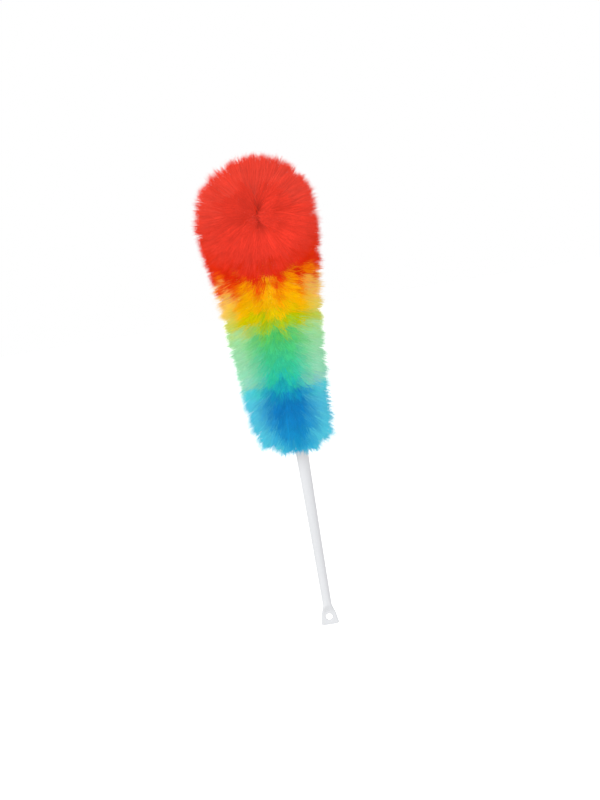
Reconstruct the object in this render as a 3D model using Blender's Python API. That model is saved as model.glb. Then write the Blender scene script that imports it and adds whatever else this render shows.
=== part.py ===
"""A long-handled plastic duster: a white tubular handle with a flat hanger end, a twisted
wire core bent over at the top, and tufts of coloured plastic fibre held in the twist.

Metres, +Z up. The origin is the middle of the hanger's flat end face. The handle runs up
+Z, and the top of the core bends towards -Y, the side that faces the viewer.
"""

import math
import random

import bmesh
import bpy
from mathutils import Vector

# Handle
HANDLE_LENGTH = 0.230
HANDLE_MOUTH_RADIUS = 0.0081
HANDLE_MIDDLE_RADIUS = 0.0064
HANDLE_TAIL_RADIUS = 0.00545
HANDLE_WALL = 0.0015
COLLAR_LENGTH = 0.0055
COLLAR_RISE = 0.0006
RIM_ROUNDING = 0.0004
TUBE_SIDES = 32

# Hanger end of the handle
HANGER_LENGTH = 0.026
HANGER_FLAT_LENGTH = 0.0165
HANGER_WIDTH = 0.023
HANGER_THICKNESS = 0.0036
HANGER_CORNER_RADIUS = 0.0022
HANGER_EDGE_ROUNDING = 0.0005
SOLID_END = 0.003
EYE_RADIUS = 0.0043
EYE_RIM = 0.0054
EYE_SIDES = 32

# Stem plug
PLUG_DEPTH = 0.030
PLUG_FLANGE = 0.0022
PLUG_CHAMFER = 0.0008
SEAT_GAP = 0.0003

# Core wire
WIRE_RADIUS = 0.0011
WIRE_CLEARANCE = 0.0004
TWIST_PITCH = 0.024
STEM_IN_HANDLE = 0.050
BARE_STEM = 0.022
STRAIGHT_LENGTH = 0.211
BEND_RADIUS = 0.042
BEND_DEGREES = 65
CORE_DRIFT = 0.0076
DRIFT_RUN = 0.078
WIRE_STEPS_PER_TURN = 8
LOOP_STEPS = 6

# Fibre tufts
MAT_THICKNESS = 0.0005
MAT_HALF_WIDTH = 0.0030
TUFT_GAP = 0.0003
TUFTS_PER_TURN = 2
STRANDS_PER_EDGE = 8
TUFT_COUNTS = (("blue", 6), ("green", 6), ("yellow", 4), ("red", 8))

# How far the fibre reaches from the core, from the lowest tuft to the tip
FOOT_REACH = 0.0430
SKIRT_REACH = 0.0635
WAIST_REACH = 0.0620
CHEST_REACH = 0.0675
SHOULDER_REACH = 0.0730
BALL_REACH = 0.0775
CROWN_REACH = 0.0835
TIP_REACH = 0.0785
TOP_TRIM_SHARE = 0.14
REACH_PLACE_SHARES = (0.0, 0.06, 0.27, 0.50, 0.66, 0.77, 0.88, 1.0)
REACHES = (
    FOOT_REACH,
    SKIRT_REACH,
    WAIST_REACH,
    CHEST_REACH,
    SHOULDER_REACH,
    BALL_REACH,
    CROWN_REACH,
    TIP_REACH,
)

# How far the fibre leans back towards the handle, in degrees
LEAN_PLACE_SHARES = (0.0, 0.04, 0.10, 0.27, 0.50, 0.66, 0.76, 0.88, 1.0)
LEANS = (64, 46, 31, 22, 18, 14, 7, -2, -18)
BEND_ROOM_SHARE = 0.80

# Variation from strand to strand, as shares of the cell that a strand has to itself
WIDTH_SHARES = (0.64, 0.80)
BELLY_SHARES = (0.66, 0.80)
REACH_SHARES = (0.92, 1.03)
TIP_WANDER_SHARE = 0.25
SEED = 7

TUFT_COUNT = sum(count for _, count in TUFT_COUNTS)
TUFT_LENGTH = TWIST_PITCH / TUFTS_PER_TURN
ROOT_LENGTH = (TUFT_LENGTH - TUFT_GAP) / (2 * STRANDS_PER_EDGE)
HEAD_LENGTH = TUFT_COUNT * TUFT_LENGTH
FIRST_FIBRE = HANDLE_LENGTH + BARE_STEM
WIRE_OFFSET = MAT_THICKNESS / 2 + WIRE_CLEARANCE + WIRE_RADIUS
BEND = math.radians(BEND_DEGREES)
TURN = 2 * math.pi


def blend(low, high, share):
    return low + (high - low) * share


def eased(share):
    """0 to 1 with level ends."""
    share = min(max(share, 0), 1)
    return share * share * (3 - 2 * share)


def read_curve(places, values, place):
    """The value at a place, on straight runs between the given places."""
    for i in range(len(places) - 1):
        if place <= places[i + 1]:
            share = (place - places[i]) / (places[i + 1] - places[i])
            return blend(values[i], values[i + 1], min(max(share, 0), 1))
    return values[-1]


def material(name, colour, roughness, metallic=0):
    made = bpy.data.materials.new(name)
    made.use_nodes = True
    shader = made.node_tree.nodes["Principled BSDF"]
    shader.inputs["Base Color"].default_value = (*colour, 1)
    shader.inputs["Roughness"].default_value = roughness
    shader.inputs["Metallic"].default_value = metallic
    made.diffuse_color = (*colour, 1)
    return made


def white_plastic():
    return material("white_plastic", (0.86, 0.87, 0.88), 0.35)


def plug_plastic():
    return material("plug_plastic", (0.80, 0.80, 0.78), 0.45)


def galvanised_steel():
    return material("galvanised_steel", (0.56, 0.57, 0.58), 0.38, 1)


def dyed_fibres():
    """One material for each colour of fibre, by name."""
    return {
        "blue": material("blue_fibre", (0.015, 0.22, 0.52), 0.55),
        "green": material("green_fibre", (0.06, 0.55, 0.17), 0.55),
        "yellow": material("yellow_fibre", (0.95, 0.42, 0.01), 0.55),
        "red": material("red_fibre", (0.75, 0.04, 0.02), 0.55),
    }


def object_of(name, bm, finish):
    """Turns a bmesh into a named object with outward faces."""
    bmesh.ops.recalc_face_normals(bm, faces=bm.faces)
    mesh = bpy.data.meshes.new(name)
    bm.to_mesh(mesh)
    bm.free()
    mesh.materials.append(finish)
    made = bpy.data.objects.new(name, mesh)
    bpy.context.scene.collection.objects.link(made)
    return made


def shade_round(made, degrees=35):
    made.data.shade_smooth()
    made.data.set_sharp_from_angle(angle=math.radians(degrees))


def skin(bm, rings, closed=False):
    """Joins each ring of vertices to the next with quads."""
    pairs = list(zip(rings, rings[1:]))
    if closed:
        pairs.append((rings[-1], rings[0]))
    for low, high in pairs:
        for i in range(len(low)):
            j = (i + 1) % len(low)
            bm.faces.new((low[i], low[j], high[j], high[i]))


def handle_radius(height):
    """Outer radius of the grip: one smooth curve through its tail, middle and mouth."""
    share = (height - HANGER_LENGTH) / (HANDLE_LENGTH - HANGER_LENGTH)
    tail = HANDLE_TAIL_RADIUS * (1 - 2 * share) * (1 - share)
    middle = HANDLE_MIDDLE_RADIUS * 4 * share * (1 - share)
    mouth = HANDLE_MOUTH_RADIUS * share * (2 * share - 1)
    return tail + middle + mouth


def bore_radius(height):
    return handle_radius(height) - HANDLE_WALL


def tab_half_width(height):
    """Half the width of the fan-shaped tab, with its two lower corners rounded."""
    share = 1 - height / HANGER_LENGTH
    width = blend(HANDLE_TAIL_RADIUS, HANGER_WIDTH / 2, share)
    if height >= HANGER_CORNER_RADIUS:
        return width
    drop = HANGER_CORNER_RADIUS - height
    return width - HANGER_CORNER_RADIUS + math.sqrt(HANGER_CORNER_RADIUS**2 - drop**2)


def tab_outline(half_width, half_depth):
    """A rectangle with its corners cut off round, with as many points as the tube."""
    rounding = HANGER_EDGE_ROUNDING
    per_corner = 3
    per_side = TUBE_SIDES // 4 - per_corner
    flat_x = half_width - rounding
    flat_y = half_depth - rounding
    points = []
    corners = ((flat_x, flat_y), (-flat_x, flat_y), (-flat_x, -flat_y), (flat_x, -flat_y))
    for quarter in range(4):
        centre = corners[quarter]
        for i in range(per_corner):
            angle = math.pi / 2 * (quarter + i / (per_corner - 1))
            x = centre[0] + rounding * math.cos(angle)
            y = centre[1] + rounding * math.sin(angle)
            points.append((x, y))
        ahead = corners[(quarter + 1) % 4]
        last = points[-1]
        turned = math.pi / 2 * (quarter + 1)
        first = (ahead[0] + rounding * math.cos(turned), ahead[1] + rounding * math.sin(turned))
        for i in range(per_side):
            share = (i + 1) / (per_side + 1)
            points.append((blend(last[0], first[0], share), blend(last[1], first[1], share)))
    return points


def round_outline(radius):
    """A circle whose points pair up with those of tab_outline."""
    points = []
    for i in range(TUBE_SIDES):
        angle = TURN * (i - 1) / TUBE_SIDES + TURN / 8
        points.append((radius * math.cos(angle), radius * math.sin(angle)))
    return points


def handle_section(height):
    """Outline of the handle at a height: flat tab, then a loft, then the round tube."""
    run = HANGER_LENGTH - HANGER_FLAT_LENGTH
    roundness = eased((height - HANGER_FLAT_LENGTH) / run)
    inset = 0
    if height < HANGER_EDGE_ROUNDING:
        inset = HANGER_EDGE_ROUNDING - height
    flat = tab_outline(tab_half_width(height) - inset, HANGER_THICKNESS / 2 - inset)
    tube = round_outline(handle_radius(max(height, HANGER_LENGTH)))
    return [
        (blend(f[0], t[0], roundness), blend(f[1], t[1], roundness))
        for f, t in zip(flat, tube)
    ]


def section_heights():
    """Heights of the handle's outer sections, from the end face to the collar."""
    corner = [HANGER_CORNER_RADIUS * (1 - math.cos(math.radians(a))) for a in (30, 50, 70, 90)]
    heights = [0, HANGER_EDGE_ROUNDING] + [h for h in corner if h > HANGER_EDGE_ROUNDING]
    heights.append(HANGER_FLAT_LENGTH)
    loft_steps = 7
    for i in range(loft_steps):
        heights.append(blend(HANGER_FLAT_LENGTH, HANGER_LENGTH, (i + 1) / loft_steps))
    grip_steps = 10
    top = HANDLE_LENGTH - COLLAR_LENGTH
    for i in range(grip_steps):
        heights.append(blend(HANGER_LENGTH, top, (i + 1) / grip_steps))
    return heights


def mouth_rings():
    """Radius and height of each ring over the collar, the rim and down the bore."""
    foot = HANDLE_LENGTH - COLLAR_LENGTH
    collar = handle_radius(HANDLE_LENGTH) + COLLAR_RISE
    inner = bore_radius(HANDLE_LENGTH)
    rings = [
        (handle_radius(foot) + COLLAR_RISE, foot + COLLAR_RISE),
        (collar, HANDLE_LENGTH - RIM_ROUNDING),
        (collar - RIM_ROUNDING, HANDLE_LENGTH),
        (inner, HANDLE_LENGTH),
    ]
    bottom = HANGER_LENGTH + SOLID_END
    bore_steps = 8
    for i in range(bore_steps):
        height = blend(HANDLE_LENGTH, bottom + bore_radius(bottom), (i + 1) / bore_steps)
        rings.append((bore_radius(height), height))
    round_end = bore_radius(bottom)
    for degrees in (35, 65):
        angle = math.radians(degrees)
        rings.append((round_end * math.cos(angle), bottom + round_end * (1 - math.sin(angle))))
    return rings


def make_handle():
    """The moulded handle: tab, loft, tapered tube, collar and blind bore, with its eye cut."""
    bm = bmesh.new()
    rings = []
    for height in section_heights():
        rings.append([bm.verts.new((x, y, height)) for x, y in handle_section(height)])
    for radius, height in mouth_rings():
        rings.append([bm.verts.new((x, y, height)) for x, y in round_outline(radius)])
    skin(bm, rings)
    bm.faces.new(reversed(rings[0]))
    bm.faces.new(rings[-1])
    plastic = white_plastic()
    handle = object_of("handle", bm, plastic)
    shade_round(handle)
    cut = handle.modifiers.new("hanging_eye", "BOOLEAN")
    cut.operation = "DIFFERENCE"
    cut.object = eye_cutter(plastic)
    return handle


def eye_cutter(finish):
    """A cylinder through the tab, along Y."""
    bm = bmesh.new()
    rings = []
    for side in (-HANGER_THICKNESS, HANGER_THICKNESS):
        ring = []
        for i in range(EYE_SIDES):
            angle = TURN * i / EYE_SIDES
            x = EYE_RADIUS * math.cos(angle)
            z = EYE_RIM + EYE_RADIUS + EYE_RADIUS * math.sin(angle)
            ring.append(bm.verts.new((x, side, z)))
        rings.append(ring)
    skin(bm, rings)
    bm.faces.new(rings[0])
    bm.faces.new(rings[1])
    cutter = object_of("eye_cutter", bm, finish)
    cutter.hide_render = True
    cutter.display_type = "WIRE"
    return cutter


def plug_profile():
    """Radius and height round the section of the bush, which follows the tapered bore."""
    bore = WIRE_OFFSET + WIRE_RADIUS + SEAT_GAP
    low = HANDLE_LENGTH - PLUG_DEPTH
    seat = HANDLE_LENGTH + SEAT_GAP
    top = seat + PLUG_FLANGE
    tail = bore_radius(low) - SEAT_GAP
    neck = bore_radius(HANDLE_LENGTH) - SEAT_GAP
    flange = handle_radius(HANDLE_LENGTH)
    return [
        (bore, low),
        (tail - PLUG_CHAMFER, low),
        (tail, low + PLUG_CHAMFER),
        (neck, HANDLE_LENGTH),
        (neck, seat),
        (flange, seat),
        (flange, top - PLUG_CHAMFER),
        (flange - PLUG_CHAMFER, top),
        (bore, top),
    ]


def make_stem_plug():
    """The bush that sits in the handle's mouth and grips the twisted stem."""
    bm = bmesh.new()
    rings = []
    for radius, height in plug_profile():
        rings.append([bm.verts.new((x, y, height)) for x, y in round_outline(radius)])
    skin(bm, rings, closed=True)
    plug = object_of("stem_plug", bm, plug_plastic())
    shade_round(plug)
    return plug


def core_frame(along):
    """Centre, direction and inward normal of the core at a length above the first fibre."""
    angle = min(max((along - STRAIGHT_LENGTH) / BEND_RADIUS, 0), BEND)
    straight = min(along, STRAIGHT_LENGTH)
    beyond = max(along - STRAIGHT_LENGTH - BEND_RADIUS * BEND, 0)
    forward = BEND_RADIUS * (1 - math.cos(angle)) + beyond * math.sin(angle)
    up = straight + BEND_RADIUS * math.sin(angle) + beyond * math.cos(angle)
    drift = CORE_DRIFT * eased((up + BARE_STEM) / DRIFT_RUN)
    centre = Vector((-drift, -forward, FIRST_FIBRE + up))
    direction = Vector((0, -math.sin(angle), math.cos(angle)))
    inward = Vector((0, -math.cos(angle), -math.sin(angle)))
    return centre, direction, inward


def outward(inward, azimuth):
    """Unit vector square to the core. Azimuth 0 is the inner side of the bend."""
    return inward * math.cos(azimuth) + Vector((math.sin(azimuth), 0, 0))


def twist(along):
    return TURN * along / TWIST_PITCH


def core_point(along, azimuth, radius):
    centre, _, inward = core_frame(along)
    return centre + outward(inward, azimuth) * radius


def wire_leg(start, end, side):
    """Points of one leg of the twisted pair."""
    steps = max(round((end - start) / TWIST_PITCH * WIRE_STEPS_PER_TURN), 1)
    places = [blend(start, end, i / steps) for i in range(steps + 1)]
    return [core_point(s, twist(s) + side * math.pi / 2, WIRE_OFFSET) for s in places]


def wire_fold():
    """Points of the half circle that joins the two legs at the tip, without its ends."""
    centre, direction, inward = core_frame(HEAD_LENGTH)
    across = outward(inward, twist(HEAD_LENGTH) + math.pi / 2)
    points = []
    for i in range(1, LOOP_STEPS):
        angle = math.pi * i / LOOP_STEPS
        points.append(
            centre
            + across * (WIRE_OFFSET * math.cos(angle))
            + direction * (WIRE_OFFSET * math.sin(angle))
        )
    return points


def gap_between(first, second):
    """Least clear distance between two runs of the wire, from points along them."""
    least = min((a - b).length for a in first for b in second)
    return least - 2 * WIRE_RADIUS


def in_between(points, parts=4):
    """The points with more added along the straight runs between them."""
    found = []
    for a, b in zip(points, points[1:]):
        found += [a.lerp(b, i / parts) for i in range(parts)]
    return found


def make_core_wire():
    """One wire, folded at the tip and twisted on itself."""
    low = -(STEM_IN_HANDLE + BARE_STEM)
    up = wire_leg(low, HEAD_LENGTH, 1)
    down = wire_leg(low, HEAD_LENGTH, -1)
    gap = gap_between(in_between(up), in_between(down))
    print(f"least gap of the core wire to itself: {gap * 1000:.2f} mm")
    points = up + wire_fold() + down[::-1]
    curve = bpy.data.curves.new("core_wire", "CURVE")
    curve.dimensions = "3D"
    curve.bevel_depth = WIRE_RADIUS
    curve.bevel_resolution = 1
    curve.use_fill_caps = True
    spline = curve.splines.new("POLY")
    spline.points.add(len(points) - 1)
    for place, point in zip(spline.points, points):
        place.co = (*point, 1)
    curve.materials.append(galvanised_steel())
    wire = bpy.data.objects.new("core_wire", curve)
    bpy.context.scene.collection.objects.link(wire)
    return wire


def free_reach(along):
    return read_curve(REACH_PLACE_SHARES, REACHES, along / HEAD_LENGTH)


def lean(along):
    return math.radians(read_curve(LEAN_PLACE_SHARES, LEANS, along / HEAD_LENGTH))


def reach(along, azimuth):
    """Length of the fibre. On the inner side of the bend it stops where the sides meet, and
    on top of the bent end it is trimmed a little, which keeps the ball round."""
    free = free_reach(along)
    inner = math.cos(azimuth)
    if inner <= 0:
        bent = eased((along - STRAIGHT_LENGTH) / (HEAD_LENGTH - STRAIGHT_LENGTH))
        return free * (1 - TOP_TRIM_SHARE * bent * inner**2)
    arc_end = STRAIGHT_LENGTH + BEND_RADIUS * BEND
    outside = max(STRAIGHT_LENGTH - along, along - arc_end, 0)
    room = (BEND_RADIUS + outside / math.tan(BEND / 2)) * BEND_ROOM_SHARE / inner
    return min(free, room)


def fibre_point(along, azimuth, share):
    """A point on a fibre, at a share of its reach from the core."""
    centre, direction, inward = core_frame(along)
    angle = lean(along)
    way = outward(inward, azimuth) * math.cos(angle) - direction * math.sin(angle)
    return centre + way * (reach(along, azimuth) * share)


def mat_row(bm, along):
    """Section of the clamped mat of fibre at one place on the core: four corners and the
    two points between them, which keep its twisted faces apart."""
    centre, _, inward = core_frame(along)
    wide = outward(inward, twist(along)) * MAT_HALF_WIDTH
    thick = outward(inward, twist(along) + math.pi / 2) * (MAT_THICKNESS / 2)
    places = (wide - thick, wide + thick, thick, -wide + thick, -wide - thick, -thick)
    return [bm.verts.new(centre + place) for place in places]


def close_mat(bm, row):
    """End face of the mat, in two halves that meet on its middle line."""
    bm.faces.new((row[0], row[1], row[2], row[5]))
    bm.faces.new((row[5], row[2], row[3], row[4]))


def grow_strand(bm, root, along, azimuth, chance):
    """A four-sided strand from a face on the mat's edge. It widens to a diamond, whose
    rows interlock with those of the other edge, and then comes to a point."""
    wide = twist(ROOT_LENGTH) * chance.uniform(*WIDTH_SHARES)
    tall = TUFT_LENGTH * chance.uniform(*WIDTH_SHARES)
    belly = chance.uniform(*BELLY_SHARES)
    full = chance.uniform(*REACH_SHARES)
    sideways = wide * chance.uniform(-TIP_WANDER_SHARE, TIP_WANDER_SHARE)
    endways = tall * chance.uniform(-TIP_WANDER_SHARE, TIP_WANDER_SHARE)
    ring = []
    for round_, up in ((-1, 0), (0, -1), (1, 0), (0, 1)):
        place = fibre_point(along + up * tall, azimuth + round_ * wide, belly)
        ring.append(bm.verts.new(place))
    tip = bm.verts.new(fibre_point(along + endways, azimuth + sideways, full))
    for i in range(4):
        j = (i + 1) % 4
        bm.faces.new((root[i], root[j], ring[j], ring[i]))
        bm.faces.new((ring[i], ring[j], tip))


def make_tuft(name, start, finish, chance):
    """A slice of the clamped mat with strands from both its edges, which take turns."""
    bm = bmesh.new()
    places = [start + TUFT_GAP / 2 + ROOT_LENGTH * i for i in range(2 * STRANDS_PER_EDGE + 1)]
    rows = [mat_row(bm, place) for place in places]
    close_mat(bm, rows[0])
    close_mat(bm, rows[-1])
    for i in range(len(rows) - 1):
        low = rows[i]
        high = rows[i + 1]
        middle = (places[i] + places[i + 1]) / 2
        for j in (1, 2, 4, 5):
            k = (j + 1) % 6
            bm.faces.new((low[j], low[k], high[k], high[j]))
        near = (low[0], low[1], high[1], high[0])
        far = (low[3], low[4], high[4], high[3])
        if i % 2 == 0:
            grow_strand(bm, near, middle, twist(middle), chance)
            bm.faces.new(far)
        else:
            grow_strand(bm, far, middle, twist(middle) + math.pi, chance)
            bm.faces.new(near)
    return object_of(name, bm, finish)


def make_tufts():
    """Every tuft, from the handle to the tip, numbered within its colour."""
    chance = random.Random(SEED)
    finishes = dyed_fibres()
    start = 0
    for colour, count in TUFT_COUNTS:
        for number in range(1, count + 1):
            make_tuft(f"tuft_{colour}_{number}", start, finishes[colour], chance)
            start += TUFT_LENGTH
    strands = TUFT_COUNT * STRANDS_PER_EDGE * 2
    print(f"{strands} strands in {TUFT_COUNT} tufts")


def clear_scene():
    for existing in list(bpy.data.objects):
        bpy.data.objects.remove(existing, do_unlink=True)


clear_scene()
make_handle()
make_stem_plug()
make_core_wire()
make_tufts()
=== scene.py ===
import math

import bmesh
import bpy
import numpy as np
from mathutils import Euler, Matrix


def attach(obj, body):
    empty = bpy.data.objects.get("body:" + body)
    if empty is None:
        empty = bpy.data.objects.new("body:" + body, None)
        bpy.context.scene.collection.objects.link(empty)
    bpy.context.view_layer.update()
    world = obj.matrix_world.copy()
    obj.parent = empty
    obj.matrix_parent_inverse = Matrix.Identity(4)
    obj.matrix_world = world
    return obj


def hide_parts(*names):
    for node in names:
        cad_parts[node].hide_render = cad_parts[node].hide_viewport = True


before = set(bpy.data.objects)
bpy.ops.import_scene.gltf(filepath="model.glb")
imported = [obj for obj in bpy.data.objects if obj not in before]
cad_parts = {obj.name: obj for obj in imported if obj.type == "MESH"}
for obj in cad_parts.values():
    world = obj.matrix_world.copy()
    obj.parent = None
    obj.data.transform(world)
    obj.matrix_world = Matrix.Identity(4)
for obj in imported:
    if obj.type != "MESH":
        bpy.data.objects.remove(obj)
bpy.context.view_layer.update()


# Camera. The duster is seen from a little above, with its long side square to the view.
# It leans to the left in the picture, which is the camera's own roll.
focal_length = 44.13
sensor_height = 24
camera_place = (0.0083, -1.7901, 0.4707)
look_down_degrees = 6
roll_degrees = 9.45

lens = bpy.data.cameras.new("camera")
lens.sensor_fit = "VERTICAL"
lens.sensor_height = sensor_height
lens.lens = focal_length
camera = bpy.data.objects.new("camera", lens)
bpy.context.scene.collection.objects.link(camera)
camera.location = camera_place
level = Euler((math.radians(90 - look_down_degrees), 0, 0)).to_matrix()
roll = Matrix.Rotation(math.radians(-roll_degrees), 3, "Z")
camera.rotation_euler = (level @ roll).to_euler()
bpy.context.scene.camera = camera


# Handle. One injection-moulded piece of white polypropylene: a tapered tube that flattens
# into a fan-shaped hanger tab with an eye. Drawn out ring by ring from a short cylinder, its
# tab pressed flat, its eye cut through and the eye's rim broken.
handle_sides = 64
blank_length = 0.008
tail_height = 0.026
tail_radius = 0.00545
# Height and radius of each ring of the tapered tube, going up
tube_rings = (
    (0.0480, 0.00558),
    (0.0700, 0.00575),
    (0.0920, 0.00595),
    (0.1140, 0.00618),
    (0.1360, 0.00644),
    (0.1580, 0.00672),
    (0.1800, 0.00704),
    (0.2020, 0.00740),
    (0.2245, 0.00781),
)
mouth_height = 0.230
collar_radius = 0.0087
# The collar's step, its side and its rounded rim, and then the bore down to its blind end
mouth_rings = (
    (0.2250, 0.00850),
    (0.2256, collar_radius - 0.00005),
    (0.2294, collar_radius),
    (0.2298, collar_radius - 0.00015),
    (mouth_height, collar_radius - 0.0005),
    (mouth_height, 0.00660),
    (0.2000, 0.00586),
    (0.1400, 0.00500),
    (0.0800, 0.00433),
    (0.0400, 0.00400),
    (0.0345, 0.00350),
    (0.0320, 0.00200),
)
tab_half_depth = 0.00178
# Height, half width and half depth of each ring of the loft and the tab, going down
tab_rings = (
    (0.0244, 0.00563, 0.00520),
    (0.0228, 0.00598, 0.00462),
    (0.0212, 0.00640, 0.00382),
    (0.0196, 0.00690, 0.00300),
    (0.0180, 0.00748, 0.00234),
    (0.0164, 0.00812, 0.00196),
    (0.0148, 0.00872, 0.00181),
    (0.0130, 0.00906, tab_half_depth),
    (0.0100, 0.00962, tab_half_depth),
    (0.0070, 0.01020, tab_half_depth),
    (0.0042, 0.01070, tab_half_depth),
    (0.0024, 0.01100, tab_half_depth),
    (0.0014, 0.01090, tab_half_depth),
    (0.0007, 0.01055, 0.00175),
    (0.0002, 0.00985, 0.00160),
    (0.0000, 0.00920, 0.00140),
)
# A ring is drawn deeper than the tab by this share, full from this far below the tail on, so
# that pressing it flat leaves a broad face
pressed_share = 1.1
press_run = 0.009
eye_height = 0.0097
eye_radius = 0.0043
eye_sides = 48
punch_length = 0.012
rim_break = 0.00035
ring_tolerance = 0.00005
rim_tolerance = 0.00002
smooth_degrees = 40


def only(made):
    """Makes one object the selected and active one."""
    bpy.ops.object.select_all(action="DESELECT")
    made.select_set(True)
    bpy.context.view_layer.objects.active = made


def select_where(made, wanted):
    """In edit mode, selects the vertices whose place is wanted, and the faces between them."""
    mesh = bmesh.from_edit_mesh(made.data)
    mesh.select_mode = {"VERT"}
    for vertex in mesh.verts:
        vertex.select = wanted(vertex.co)
    mesh.select_flush_mode()
    bmesh.update_edit_mesh(made.data)


def draw_out(rise, across, along_y):
    """Extrudes the selected end face and resizes it about the handle's axis."""
    bpy.ops.mesh.extrude_region_move(TRANSFORM_OT_translate={"value": (0, 0, rise)})
    bpy.ops.transform.resize(value=(across, along_y, 1), center_override=(0, 0, 0))


bpy.ops.object.select_all(action="DESELECT")
bpy.ops.mesh.primitive_cylinder_add(
    vertices=handle_sides,
    radius=tail_radius,
    depth=blank_length,
    location=(0, 0, tail_height + blank_length / 2),
)
handle = bpy.context.object
handle.name = "moulded_handle"
only(handle)
bpy.ops.object.transform_apply(location=True, rotation=True, scale=True)
bpy.ops.object.mode_set(mode="EDIT")
height, radius = tail_height + blank_length, tail_radius
select_where(handle, lambda place: place.z > height - ring_tolerance)
for next_height, next_radius in tube_rings + mouth_rings:
    share = next_radius / radius
    draw_out(next_height - height, share, share)
    height, radius = next_height, next_radius
select_where(handle, lambda place: place.z < tail_height + ring_tolerance)
height, half_width, half_depth = tail_height, tail_radius, tail_radius
for next_height, next_width, next_depth in tab_rings:
    pressed = pressed_share * min(max((tail_height - next_height) / press_run, 0), 1)
    depth = next_depth * (1 + pressed)
    draw_out(next_height - height, next_width / half_width, depth / half_depth)
    height, half_width, half_depth = next_height, next_width, depth
for ring_height, _, ring_depth in tab_rings:
    for side in (-1, 1):
        select_where(
            handle,
            lambda place: abs(place.z - ring_height) < ring_tolerance
            and place.y * side > ring_depth,
        )
        bpy.ops.transform.resize(value=(1, 0, 1), center_override=(0, ring_depth * side, 0))
bpy.ops.mesh.select_all(action="SELECT")
bpy.ops.mesh.normals_make_consistent(inside=False)
bpy.ops.object.mode_set(mode="OBJECT")
bpy.ops.object.select_all(action="DESELECT")
bpy.ops.mesh.primitive_cylinder_add(
    vertices=eye_sides,
    radius=eye_radius,
    depth=punch_length,
    location=(0, 0, eye_height),
    rotation=(math.pi / 2, 0, 0),
)
punch = bpy.context.object
only(handle)
eye = handle.modifiers.new("eye", "BOOLEAN")
eye.operation = "DIFFERENCE"
eye.solver = "EXACT"
eye.object = punch
bpy.ops.object.modifier_apply(modifier=eye.name)
bpy.data.objects.remove(punch)
bpy.ops.object.mode_set(mode="EDIT")
rim = bmesh.from_edit_mesh(handle.data)
rim.select_mode = {"EDGE"}
for edge in rim.edges:
    edge.select = all(
        abs(math.hypot(end.co.x, end.co.z - eye_height) - eye_radius) < rim_tolerance
        and abs(abs(end.co.y) - tab_half_depth) < ring_tolerance
        for end in edge.verts
    )
rim.select_flush_mode()
bmesh.update_edit_mesh(handle.data)
bpy.ops.mesh.bevel(offset=rim_break, segments=3)
bpy.ops.object.mode_set(mode="OBJECT")
bpy.ops.object.shade_smooth_by_angle(angle=math.radians(smooth_degrees))


def shader_of(name):
    """A new material: its nodes, its links and its Principled shader."""
    made = bpy.data.materials.new(name)
    made.use_nodes = True
    tree = made.node_tree
    return made, tree.nodes, tree.links, tree.nodes["Principled BSDF"]


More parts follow.
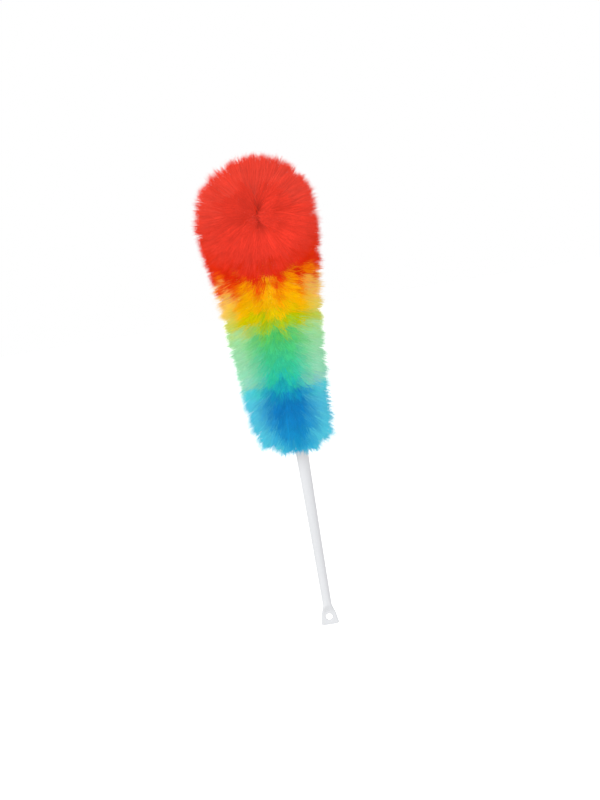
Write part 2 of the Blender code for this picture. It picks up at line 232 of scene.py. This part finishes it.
def moulded_surface_group():
    """Shader group of a moulded plastic skin: flow marks in its colour, a fine orange peel,
    handling scuffs, and the parting line where the halves of the mould meet at y = 0."""
    group = bpy.data.node_groups.new("moulded surface", "ShaderNodeTree")
    face = group.interface
    face.new_socket("Base", in_out="INPUT", socket_type="NodeSocketColor")
    face.new_socket("Scuffs", in_out="INPUT", socket_type="NodeSocketFloat")
    face.new_socket("Colour", in_out="OUTPUT", socket_type="NodeSocketColor")
    face.new_socket("Roughness", in_out="OUTPUT", socket_type="NodeSocketFloat")
    face.new_socket("Height", in_out="OUTPUT", socket_type="NodeSocketFloat")
    nodes, links = group.nodes, group.links
    given = nodes.new("NodeGroupInput")
    out = nodes.new("NodeGroupOutput")
    place = nodes.new("ShaderNodeTexCoord")

    flow = nodes.new("ShaderNodeTexNoise")
    flow.inputs["Scale"].default_value = 45
    flow.inputs["Detail"].default_value = 3
    stretched = nodes.new("ShaderNodeMapping")
    stretched.inputs["Scale"].default_value = (1, 1, 0.12)
    links.new(place.outputs["Object"], stretched.inputs["Vector"])
    links.new(stretched.outputs["Vector"], flow.inputs["Vector"])
    darker = nodes.new("ShaderNodeMix")
    darker.data_type = "RGBA"
    darker.blend_type = "MULTIPLY"
    tint = nodes.new("ShaderNodeMapRange")
    tint.inputs["From Min"].default_value = 0.35
    tint.inputs["From Max"].default_value = 0.75
    tint.inputs["To Min"].default_value = 0.93
    tint.inputs["To Max"].default_value = 1.0
    links.new(flow.outputs["Fac"], tint.inputs["Value"])
    darker.inputs[0].default_value = 1
    links.new(given.outputs["Base"], darker.inputs[6])
    links.new(tint.outputs["Result"], darker.inputs[7])
    links.new(darker.outputs[2], out.inputs["Colour"])

    scuff = nodes.new("ShaderNodeTexNoise")
    scuff.inputs["Scale"].default_value = 900
    scuff.inputs["Detail"].default_value = 4
    scuff.inputs["Distortion"].default_value = 1.5
    links.new(place.outputs["Object"], scuff.inputs["Vector"])
    worn = nodes.new("ShaderNodeMapRange")
    worn.inputs["From Min"].default_value = 0.5
    worn.inputs["From Max"].default_value = 0.72
    worn.inputs["To Min"].default_value = 0.30
    links.new(scuff.outputs["Fac"], worn.inputs["Value"])
    rougher = nodes.new("ShaderNodeMath")
    rougher.operation = "ADD"
    rougher.inputs[1].default_value = 0.36
    links.new(given.outputs["Scuffs"], rougher.inputs[0])
    links.new(rougher.outputs[0], worn.inputs["To Max"])
    links.new(worn.outputs["Result"], out.inputs["Roughness"])

    peel = nodes.new("ShaderNodeTexNoise")
    peel.inputs["Scale"].default_value = 1400
    peel.inputs["Detail"].default_value = 2
    links.new(place.outputs["Object"], peel.inputs["Vector"])
    axes = nodes.new("ShaderNodeSeparateXYZ")
    links.new(place.outputs["Object"], axes.inputs["Vector"])
    off_line = nodes.new("ShaderNodeMath")
    off_line.operation = "ABSOLUTE"
    links.new(axes.outputs["Y"], off_line.inputs[0])
    line = nodes.new("ShaderNodeMapRange")
    line.inputs["From Min"].default_value = 0.00005
    line.inputs["From Max"].default_value = 0.00018
    line.inputs["To Min"].default_value = 1.6
    line.inputs["To Max"].default_value = 0
    links.new(off_line.outputs[0], line.inputs["Value"])
    both = nodes.new("ShaderNodeMath")
    both.operation = "MULTIPLY_ADD"
    both.inputs[1].default_value = 0.25
    links.new(peel.outputs["Fac"], both.inputs[0])
    links.new(line.outputs["Result"], both.inputs[2])
    links.new(both.outputs[0], out.inputs["Height"])
    return group


moulded_surface = moulded_surface_group()


def moulded_plastic(name, base, scuffs, relief_strength):
    """A plastic with the moulded skin, and its Principled shader."""
    made, nodes, links, shader = shader_of(name)
    skin = nodes.new("ShaderNodeGroup")
    skin.node_tree = moulded_surface
    skin.inputs["Base"].default_value = (*base, 1)
    skin.inputs["Scuffs"].default_value = scuffs
    relief = nodes.new("ShaderNodeBump")
    relief.inputs["Strength"].default_value = relief_strength
    relief.inputs["Distance"].default_value = 0.0001
    links.new(skin.outputs["Colour"], shader.inputs["Base Color"])
    links.new(skin.outputs["Roughness"], shader.inputs["Roughness"])
    links.new(skin.outputs["Height"], relief.inputs["Height"])
    links.new(relief.outputs["Normal"], shader.inputs["Normal"])
    return made, shader


white_plastic, shader = moulded_plastic(
    "white polypropylene", base=(0.745, 0.755, 0.775), scuffs=0.16, relief_strength=0.35
)
shader.inputs["Subsurface Weight"].default_value = 0.12
shader.inputs["Subsurface Radius"].default_value = (1, 1, 1)
shader.inputs["Subsurface Scale"].default_value = 0.002
handle.data.materials.clear()
handle.data.materials.append(white_plastic)
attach(handle, "root")
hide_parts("handle")


# Stem plug. An off-white bush with a flange, pressed into the handle's mouth to grip the
# twisted wire. It keeps the frame's own shape and gets the moulded skin, duller and greyer.
plug_plastic, shader = moulded_plastic(
    "off-white bush plastic", base=(0.66, 0.66, 0.63), scuffs=0.3, relief_strength=0.25
)
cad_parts["stem_plug"].material_slots[0].material = plug_plastic


# Core wire. One galvanised steel wire, folded at the tip and twisted on itself over the
# fibre. It keeps the frame's own shape and gets a spangled zinc coat with drawing marks.
zinc, nodes, links, shader = shader_of("galvanised wire")
place = nodes.new("ShaderNodeTexCoord")
spangle = nodes.new("ShaderNodeTexVoronoi")
spangle.inputs["Scale"].default_value = 900
links.new(place.outputs["Object"], spangle.inputs["Vector"])
coat = nodes.new("ShaderNodeValToRGB")
coat.color_ramp.elements[0].color = (0.42, 0.43, 0.45, 1)
coat.color_ramp.elements[1].color = (0.66, 0.67, 0.69, 1)
links.new(spangle.outputs["Color"], coat.inputs["Fac"])
links.new(coat.outputs["Color"], shader.inputs["Base Color"])
marks = nodes.new("ShaderNodeTexNoise")
marks.inputs["Scale"].default_value = 2200
marks.inputs["Detail"].default_value = 3
links.new(place.outputs["Object"], marks.inputs["Vector"])
dull = nodes.new("ShaderNodeMapRange")
dull.inputs["To Min"].default_value = 0.26
dull.inputs["To Max"].default_value = 0.52
links.new(marks.outputs["Fac"], dull.inputs["Value"])
links.new(dull.outputs["Result"], shader.inputs["Roughness"])
scratched = nodes.new("ShaderNodeBump")
scratched.inputs["Strength"].default_value = 0.3
scratched.inputs["Distance"].default_value = 0.00005
links.new(marks.outputs["Fac"], scratched.inputs["Height"])
links.new(scratched.outputs["Normal"], shader.inputs["Normal"])
shader.inputs["Metallic"].default_value = 1
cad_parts["core_wire"].material_slots[0].material = zinc


# One fibre. A strip of dyed polypropylene, pinched at its root and drawn to a point. Cut from
# a three-sided bar of unit length with a few cuts along it, each ring sized, the top closed.
ring_shares = (0.0, 0.45, 0.70, 0.88)
ring_sizes = (0.55, 1.0, 0.95, 0.70)
cut_tolerance = 0.001

bpy.ops.object.select_all(action="DESELECT")
bpy.ops.mesh.primitive_cylinder_add(vertices=3, radius=1, depth=1, location=(0, 0, 1 / 2))
strand = bpy.context.object
only(strand)
bpy.ops.object.transform_apply(location=True, rotation=True, scale=True)
bpy.ops.object.mode_set(mode="EDIT")
for share in ring_shares[1:]:
    bpy.ops.mesh.select_all(action="SELECT")
    bpy.ops.mesh.bisect(plane_co=(0, 0, share), plane_no=(0, 0, 1))
for share, size in zip(ring_shares, ring_sizes):
    select_where(strand, lambda place: abs(place.z - share) < cut_tolerance)
    bpy.ops.transform.resize(value=(size, size, 1), center_override=(0, 0, share))
select_where(strand, lambda place: place.z > 1 - cut_tolerance)
bpy.ops.mesh.merge(type="CENTER")
bpy.ops.object.mode_set(mode="OBJECT")
strand_places = np.array([vertex.co for vertex in strand.data.vertices])
strand_faces = [tuple(face.vertices) for face in strand.data.polygons]
bpy.data.objects.remove(strand)
all_shares = np.array(ring_shares + (1.0,))
strand_rings = np.abs(strand_places[:, 2:3] - all_shares).argmin(1)


# Fibre head. Bundles of fibre lie across the twisted core wire, each half turn of the twist
# holding one tuft, whose two ends fan out on opposite sides. Each tuft is a piece of some
# thousands of fibres that gather into clumps towards their tips.
pitch = 0.024
tuft_length = pitch / 2
head_length = 0.288
first_fibre = 0.252
bare_stem = 0.022
straight_length = 0.211
bend_radius = 0.042
bend = math.radians(65)
core_drift = 0.0076
drift_run = 0.078
chance = np.random.default_rng(7)


def core_at(along):
    """Centre, direction and inward normal of the core at lengths above the first fibre."""
    angle = np.clip((along - straight_length) / bend_radius, 0, bend)
    beyond = np.maximum(along - straight_length - bend_radius * bend, 0)
    forward = bend_radius * (1 - np.cos(angle)) + beyond * np.sin(angle)
    up = np.minimum(along, straight_length) + bend_radius * np.sin(angle)
    up = up + beyond * np.cos(angle)
    # Above the handle the core drifts to the left by a smooth step.
    raised = np.clip((up + bare_stem) / drift_run, 0, 1)
    drift = core_drift * raised * raised * (3 - 2 * raised)
    zeros = np.zeros_like(angle)
    centre = np.stack((-drift, -forward, first_fibre + up), -1)
    direction = np.stack((zeros, -np.sin(angle), np.cos(angle)), -1)
    inward = np.stack((zeros, -np.cos(angle), -np.sin(angle)), -1)
    return centre, direction, inward


# The top of the head is sheared to a ball, which is somewhat deeper at the back. The shears
# take every fibre that ends above the ball's middle, and all that grow from the front.
ball_centre = np.array([-0.0062, -0.0270, 0.5058])
ball_radius = 0.0831
back_squash = 0.84
front_of_core = -0.03
uneven_shearing = (0.955, 1.005)
# A lean of up to this many radians leaves the head's face straight
upright_lean = 0.5


def lay_clumps(along, azimuth, lean, reach):
    """Root, way out, the two square directions and the head's own face at each clump."""
    centre, direction, inward = core_at(along)
    side = np.array([1.0, 0, 0])
    out = inward * np.cos(azimuth)[:, None] + side * np.sin(azimuth)[:, None]
    around = -inward * np.sin(azimuth)[:, None] + side * np.cos(azimuth)[:, None]
    way = out * np.cos(lean)[:, None] - direction * np.sin(lean)[:, None]
    squash = np.ones_like(way)
    squash[:, 1] = np.where(way[:, 1] > 0, back_squash, 1)
    off, step = (centre - ball_centre) * squash, way * squash
    ahead, span = (off * step).sum(1), (step**2).sum(1)
    left = ahead**2 - span * ((off**2).sum(1) - ball_radius**2)
    to_ball = (np.sqrt(np.maximum(left, 0)) - ahead) / span
    in_ball = centre[:, 2] + way[:, 2] * to_ball > ball_centre[2]
    in_ball = in_ball | (centre[:, 1] < front_of_core)
    reach = np.where(in_ball, np.minimum(reach, to_ball), reach)
    reach = reach * chance.uniform(*uneven_shearing, along.size)
    tilt = (np.minimum(lean, 0) + np.maximum(lean - upright_lean, 0))[:, None]
    face = out * np.cos(tilt) - direction * np.sin(tilt)
    return centre, way * reach[:, None], around, np.cross(way, around), face


# Reach in metres and lean towards the handle in degrees, at places along the core
reach_places = np.array([0.0, 0.06, 0.27, 0.50, 0.66, 0.77, 0.88, 1.0]) * head_length
reaches = (0.0410, 0.0680, 0.0665, 0.0705, 0.0745, 0.0790, 0.0800, 0.0850)
lean_places = np.array([0.0, 0.04, 0.10, 0.27, 0.50, 0.66, 0.76, 0.88, 1.0]) * head_length
leans = (66, 46, 31, 22, 18, 14, 7, -2, -18)
clumps_per_edge = 42
# How far clumps lie off an even row along the wire, in slots, metres, radians and degrees
slot_wander = 0.3
along_scatter = 0.0022
azimuth_scatter = 0.03
lean_scatter = 3


def clumps_of_tuft(number):
    """Places along the core, azimuths, leans, reaches and bows of one tuft's clumps."""
    wander = chance.uniform(-slot_wander, slot_wander, clumps_per_edge)
    slots = np.tile((np.arange(clumps_per_edge) + wander) / clumps_per_edge, 2)
    edge = np.repeat((0, math.pi), clumps_per_edge)
    along = (number + slots) * tuft_length
    azimuth = along * (2 * math.pi / pitch) + edge
    along = np.clip(along + chance.normal(0, along_scatter, along.size), 0, head_length)
    azimuth = azimuth + chance.normal(0, azimuth_scatter, along.size)
    lean = np.interp(along, lean_places, leans) + chance.normal(0, lean_scatter, along.size)
    reach = np.interp(along, reach_places, reaches)
    return along, azimuth, np.radians(lean), reach, np.zeros_like(along)


crown_per_tuft = 30
crown_fan_degrees = 65
crown_lift_degrees = -4
crown_scatter_degrees = 8


def crown_clumps(number):
    """The same for the fibres that fill the fan on the outside of the wire's bend."""
    along = (number + chance.random(crown_per_tuft)) * tuft_length
    azimuth = math.pi + chance.normal(0, math.radians(crown_fan_degrees), crown_per_tuft)
    lean = np.interp(along, lean_places, leans)
    lean = lean + chance.normal(crown_lift_degrees, crown_scatter_degrees, crown_per_tuft)
    reach = np.interp(along, reach_places, reaches)
    return along, azimuth, np.radians(lean), reach, np.zeros_like(along)


first_parted_tuft = 21
parted_per_tuft = 50
rise_degrees = (-38, 62)
parting_degrees = 7
lower_gap_degrees = 6
upper_gap_degrees = 9
parted_fan_degrees = 29
parted_reach = 0.055
bows = (0.001, 0.010)


def parted_clumps(number):
    """The same for the fibres that fan forward from the end of the wire. They part to the
    left and right of an upright line and bow away from it."""
    along = (number + chance.random(parted_per_tuft)) * tuft_length
    rise = chance.uniform(*rise_degrees, parted_per_tuft)
    gap = np.where(rise > 0, upper_gap_degrees, lower_gap_degrees)
    apart = gap + np.abs(chance.normal(0, parted_fan_degrees, parted_per_tuft))
    side = np.where(chance.random(parted_per_tuft) < 1 / 2, 1, -1)
    turn, rise = np.radians(parting_degrees + side * apart), np.radians(rise)
    way = np.stack(
        (np.sin(turn), -np.cos(turn) * np.cos(rise), np.cos(turn) * np.sin(rise)), -1
    )
    _, direction, inward = core_at(along)
    azimuth = np.arctan2(way[:, 0], (way * inward).sum(1))
    lean = -np.arcsin((way * direction).sum(1))
    reach = np.full(parted_per_tuft, parted_reach)
    bow = side * np.sign(np.cos(azimuth)) * chance.uniform(*bows, parted_per_tuft)
    return along, azimuth, lean, reach, bow


# How strongly clumps gather to points, and the share of fibres that hang loose between them
gather_places = np.array([0.24, 0.32]) * head_length
gathers = (1.2, 0.5)
gather_luck = (0.3, 0.8)
loose_share = 0.25
# The fringe is what stray fibres stand out by, as a share of the reach
fringe_places = np.array([0.0, 0.08, 0.50, 0.62, 0.72, 1.0]) * head_length
fringe_shares = (0.16, 0.14, 0.08, 0.08, 0.05, 0.04)
uneven_body = 0.035
short_share = 0.2
short_lengths = (0.7, 0.97)
stray_share = 0.25
stray_retreat = 0.9
stray_gather = 0.5


def draw_lengths(along, clump):
    """Length share and gather of each fibre, and whether it strays. The dense body ends below
    the full reach, and the drawn-out stray fibres stand out of it by the fringe."""
    count = clump.size
    gather = chance.uniform(*gather_luck, along.size) * np.interp(along, gather_places, gathers)
    gather = np.where(chance.random(count) < loose_share, 0.0, gather[clump])
    fringe = np.interp(along, fringe_places, fringe_shares)[clump]
    body = 1 - fringe
    stray = chance.random(count) < stray_share
    full = body * (1 - np.abs(chance.normal(0, uneven_body, count)))
    short = chance.random(count) < short_share
    full = np.where(short, body * chance.uniform(*short_lengths, count), full)
    full = np.where(stray, 1 - fringe * stray_retreat * chance.random(count), full)
    gather = np.where(stray, chance.uniform(0, stray_gather, count), gather)
    return full, gather, stray


# A clump opens out from its root, and its fibres may close again towards the tip
opened_share = 0.6
opening_power = 0.8
gather_from = 0.55
gather_run = 0.45
clump_spread = 0.0031
crimp = 0.0006
crimp_rise = 1.5


def draw_wander(share, gather):
    """How far each ring of each fibre lies sideways and endways of its clump's line."""
    opened = np.minimum(share / opened_share, 1) ** opening_power
    close = 1 - gather[:, None] * np.clip((share - gather_from) / gather_run, 0, 1)
    spread = chance.normal(0, clump_spread, (gather.size, 2))
    sideways = spread[:, :1] * opened * close
    endways = spread[:, 1:] * opened * close
    kinks = chance.normal(0, crimp, (gather.size, share.size, 2))
    kinks = kinks * np.minimum(share * crimp_rise, 1)[..., None]
    return sideways + kinks[..., 0], endways + kinks[..., 1]


# Least and greatest size of a fibre, and its strip's width and depth in shares of that size
strip_sizes = (0.00020, 0.00030)
stray_thinness = 0.6
strip_width = 1.9
strip_depth = 0.5


def draw_strips(stray):
    """Where each vertex of each fibre lies across its line: a flat strip turned by chance."""
    thick = chance.uniform(*strip_sizes, stray.size) * np.where(stray, stray_thinness, 1)
    turn = chance.uniform(0, 2 * math.pi, stray.size)
    x = strand_places[:, 0] * strip_width
    y = strand_places[:, 1] * strip_depth
    cos, sin = np.cos(turn)[:, None], np.sin(turn)[:, None]
    across = (x[None] * cos - y[None] * sin) * thick[:, None]
    over = (x[None] * sin + y[None] * cos) * thick[:, None]
    return across, over


strands_per_clump = 36
root_share = 0.035
# Round the head, locks hang lower and higher by turns and carry the dyes along, most of all
# at the foot and where yellow turns to red
lock_count = 12
lock_degrees = 8
lock_creep = 0.0065
lock_places = np.array([0.0, 0.10, 0.56, 0.65, 0.75, 0.83]) * head_length
lock_sizes = (1.0, 0.2, 0.2, 1.0, 1.0, 0.0)
clump_dye_scatter = 0.0020
fibre_dye_scatter = 0.0014
clump_luck_share = 0.6
fibre_luck_share = 0.4


def grow_fibres(along, azimuth, lean, reach, bow):
    """Every vertex of the strands of these clumps, and each vertex's dye place, share of
    its strand's length, chance number and the way the head faces there."""
    lock = -np.cos(lock_count * azimuth) * np.interp(along, lock_places, lock_sizes)
    lean = lean + np.radians(lock_degrees) * lock
    centre, way, around, up, face = lay_clumps(along, azimuth, lean, reach)
    clump = np.repeat(np.arange(along.size), strands_per_clump)
    full, gather, stray = draw_lengths(along, clump)
    share = root_share + (1 - root_share) * all_shares[None, :]
    sideways, endways = draw_wander(share, gather)
    sideways = sideways + bow[clump][:, None] * (share * full[:, None]) ** 2
    line = centre[clump][:, None] + way[clump][:, None] * (share * full[:, None])[..., None]
    line = line + around[clump][:, None] * sideways[..., None]
    line = line + up[clump][:, None] * endways[..., None]
    across, over = draw_strips(stray)
    places = line[:, strand_rings]
    places = places + around[clump][:, None] * across[..., None]
    places = places + up[clump][:, None] * over[..., None]
    dye = along + lock_creep * lock + chance.normal(0, clump_dye_scatter, along.size)
    dye = dye[clump] + chance.normal(0, fibre_dye_scatter, clump.size)
    luck = chance.random(along.size)[clump] * clump_luck_share
    luck = luck + chance.random(clump.size) * fibre_luck_share
    marks = {
        "dye": np.repeat(dye / head_length, len(strand_rings)),
        "length share": np.tile(all_shares[strand_rings], clump.size),
        "luck": np.repeat(luck, len(strand_rings)),
        "outward": np.repeat(face[clump], len(strand_rings), axis=0),
    }
    return places.reshape(-1, 3), marks


def fibre_piece(name, places, marks):
    """One mesh of many strands, with the numbers and the direction as attributes."""
    count = len(places) // len(strand_places)
    loops = np.concatenate([np.array(face) for face in strand_faces])
    sizes = np.array([len(face) for face in strand_faces])
    step = np.arange(count)[:, None] * len(strand_places)
    mesh = bpy.data.meshes.new(name)
    mesh.vertices.add(len(places))
    mesh.vertices.foreach_set("co", places.astype(np.float32).ravel())
    all_loops = (loops[None] + step).ravel()
    mesh.loops.add(len(all_loops))
    mesh.loops.foreach_set("vertex_index", all_loops.astype(np.int32))
    all_sizes = np.tile(sizes, count)
    mesh.polygons.add(len(all_sizes))
    starts = np.concatenate(([0], np.cumsum(all_sizes)[:-1]))
    mesh.polygons.foreach_set("loop_start", starts.astype(np.int32))
    mesh.update(calc_edges=True)
    mesh.shade_flat()
    for title, values in marks.items():
        kind, field = ("FLOAT", "value") if values.ndim == 1 else ("FLOAT_VECTOR", "vector")
        attribute = mesh.attributes.new(title, kind, "POINT")
        attribute.data.foreach_set(field, values.astype(np.float32).ravel())
    piece = bpy.data.objects.new(name, mesh)
    bpy.context.scene.collection.objects.link(piece)
    return piece


# The dyes run into each other along the core, from blue at the handle to red at the tip.
dyes = (
    (0.020, (0.010, 0.30, 0.58)),
    (0.150, (0.005, 0.18, 0.49)),
    (0.200, (0.005, 0.20, 0.48)),
    (0.245, (0.010, 0.38, 0.45)),
    (0.295, (0.025, 0.56, 0.35)),
    (0.380, (0.050, 0.54, 0.23)),
    (0.455, (0.080, 0.56, 0.12)),
    (0.510, (0.400, 0.54, 0.00)),
    (0.560, (0.870, 0.48, 0.00)),
    (0.610, (0.940, 0.41, 0.00)),
    (0.660, (0.890, 0.17, 0.00)),
    (0.710, (0.740, 0.025, 0.002)),
    (0.800, (0.720, 0.020, 0.003)),
    (0.880, (0.730, 0.028, 0.010)),
    (0.960, (0.770, 0.040, 0.022)),
)
bloom_run = 0.45


def fibre_material(name, fuzz, starts, fuzz_colour):
    """Dyed fibre: colour by its place along the core, with painted shade that darkens it
    towards the root, each clump and strand a little lighter or darker, with flecks, and with a
    sheen."""
    made, nodes, links, shader = shader_of(name)
    dye = nodes.new("ShaderNodeAttribute")
    dye.attribute_name = "dye"
    ramp = nodes.new("ShaderNodeValToRGB")
    while len(ramp.color_ramp.elements) < len(dyes):
        ramp.color_ramp.elements.new(0.5)
    for element, (place, _) in zip(ramp.color_ramp.elements, dyes):
        element.position = place
    for element, (_, colour) in zip(ramp.color_ramp.elements, dyes):
        element.color = (*colour, 1)
    links.new(dye.outputs["Fac"], ramp.inputs["Fac"])
    luck = nodes.new("ShaderNodeAttribute")
    luck.attribute_name = "luck"
    bright = nodes.new("ShaderNodeMapRange")
    bright.inputs["To Min"].default_value = 0.90
    bright.inputs["To Max"].default_value = 1.18
    links.new(luck.outputs["Fac"], bright.inputs["Value"])
    # Painted shade: the colour darkens towards each fibre's root, in place of the shade deep
    # among the fibres.
    root_shade_share = nodes.new("ShaderNodeAttribute")
    root_shade_share.attribute_name = "length share"
    depth = nodes.new("ShaderNodeMapRange")
    depth.interpolation_type = "SMOOTHSTEP"
    depth.inputs["From Max"].default_value = 0.62
    depth.inputs["To Min"].default_value = 0.50
    links.new(root_shade_share.outputs["Fac"], depth.inputs["Value"])
    place = nodes.new("ShaderNodeTexCoord")
    uneven = nodes.new("ShaderNodeTexNoise")
    uneven.inputs["Scale"].default_value = 90
    uneven.inputs["Detail"].default_value = 3
    links.new(place.outputs["Object"], uneven.inputs["Vector"])
    fleck = nodes.new("ShaderNodeMapRange")
    fleck.inputs["From Min"].default_value = 0.3
    fleck.inputs["From Max"].default_value = 0.7
    fleck.inputs["To Min"].default_value = 0.94
    fleck.inputs["To Max"].default_value = 1.06
    links.new(uneven.outputs["Fac"], fleck.inputs["Value"])
    value = bright.outputs["Result"]
    for other in (depth, fleck):
        product = nodes.new("ShaderNodeMath")
        product.operation = "MULTIPLY"
        links.new(value, product.inputs[0])
        links.new(other.outputs["Result"], product.inputs[1])
        value = product.outputs[0]
    vary = nodes.new("ShaderNodeHueSaturation")
    links.new(value, vary.inputs["Value"])
    links.new(ramp.outputs["Color"], vary.inputs["Color"])
    links.new(vary.outputs["Color"], shader.inputs["Base Color"])
    shader.inputs["Roughness"].default_value = 0.7
    shader.inputs["Specular IOR Level"].default_value = 0.005
    # A sheen of fine fuzz, seen where the head's rounded face turns away.
    outward = nodes.new("ShaderNodeAttribute")
    outward.attribute_name = "outward"
    edge = nodes.new("ShaderNodeLayerWeight")
    links.new(outward.outputs["Vector"], edge.inputs["Normal"])
    bloom = nodes.new("ShaderNodeMapRange")
    bloom.inputs["From Min"].default_value = starts
    bloom.inputs["From Max"].default_value = starts + bloom_run
    bloom.inputs["To Max"].default_value = fuzz
    links.new(edge.outputs["Facing"], bloom.inputs["Value"])
    links.new(bloom.outputs["Result"], shader.inputs["Sheen Weight"])
    shader.inputs["Sheen Roughness"].default_value = 1.0
    shader.inputs["Sheen Tint"].default_value = (*fuzz_colour, 1)
    return made


# Colour, number of tufts, weight of the sheen, where it starts and its own colour
bands = (
    ("blue", 6, 1.0, 0.08, (0.2, 1.0, 1.0)),
    ("green", 6, 0.85, 0.06, (0.8, 1.0, 0.7)),
    ("yellow", 4, 0.55, 0.30, (0.8, 1.0, 0.5)),
    ("red", 8, 0.04, 0.50, (1.0, 0.9, 0.7)),
)
number = 0
for colour, count, fuzz, starts, fuzz_colour in bands:
    dyed = fibre_material(f"{colour} fibre", fuzz, starts, fuzz_colour)
    for in_band in range(1, count + 1):
        clumps = clumps_of_tuft(number)
        if (number + 1) * tuft_length > straight_length:
            clumps = [np.concatenate(parts) for parts in zip(clumps, crown_clumps(number))]
        if number >= first_parted_tuft:
            clumps = [np.concatenate(parts) for parts in zip(clumps, parted_clumps(number))]
        piece = fibre_piece(f"fibre_{colour}_{in_band}", *grow_fibres(*clumps))
        piece.data.materials.append(dyed)
        # The sky's light filters down between the real fibres, which are far finer than these.
        piece.visible_diffuse = False
        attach(piece, "root")
        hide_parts(f"tuft_{colour}_{in_band}")
        number += 1


# Floor and light. A white sweep far enough below the duster to leave its shadow out of the
# picture, an even white sky, and one broad lamp up on the left.
floor_size = 60
floor_height = -0.9

bpy.ops.object.select_all(action="DESELECT")
bpy.ops.mesh.primitive_plane_add(size=floor_size, location=(0, 0, floor_height))
floor = bpy.context.object
floor.name = "floor"
pale, nodes, links, shader = shader_of("pale floor")
shader.inputs["Base Color"].default_value = (0.78, 0.78, 0.78, 1)
shader.inputs["Roughness"].default_value = 0.9
path = nodes.new("ShaderNodeLightPath")
fill = nodes.new("ShaderNodeMath")
fill.operation = "MULTIPLY"
fill.inputs[1].default_value = 0.5
links.new(path.outputs["Is Camera Ray"], fill.inputs[0])
shader.inputs["Emission Color"].default_value = (1, 1, 1, 1)
links.new(fill.outputs[0], shader.inputs["Emission Strength"])
floor.data.materials.append(pale)

sky = bpy.data.worlds.new("sky")
sky.use_nodes = True
bpy.context.scene.world = sky
nodes, links = sky.node_tree.nodes, sky.node_tree.links
back = nodes["Background"]
back.inputs["Color"].default_value = (1, 1, 1, 1)
path = nodes.new("ShaderNodeLightPath")
seen = nodes.new("ShaderNodeMath")
seen.operation = "MAXIMUM"
links.new(path.outputs["Is Camera Ray"], seen.inputs[0])
links.new(path.outputs["Is Glossy Ray"], seen.inputs[1])
also = nodes.new("ShaderNodeMath")
also.operation = "MAXIMUM"
links.new(seen.outputs[0], also.inputs[0])
links.new(path.outputs["Is Transmission Ray"], also.inputs[1])
strength = nodes.new("ShaderNodeMapRange")
strength.inputs["To Min"].default_value = 0.95
strength.inputs["To Max"].default_value = 1.0
links.new(also.outputs[0], strength.inputs["Value"])
links.new(strength.outputs["Result"], back.inputs["Strength"])

lamp = bpy.data.lights.new("broad lamp", "AREA")
lamp.shape = "DISK"
lamp.size = 1.6
lamp.energy = 28
lamp_object = bpy.data.objects.new("broad lamp", lamp)
bpy.context.scene.collection.objects.link(lamp_object)
lamp_object.location = (-1.1, -1.9, 1.7)
lamp_object.rotation_euler = Euler((math.radians(58), 0, math.radians(-30)))

bpy.context.scene.view_settings.view_transform = "Standard"
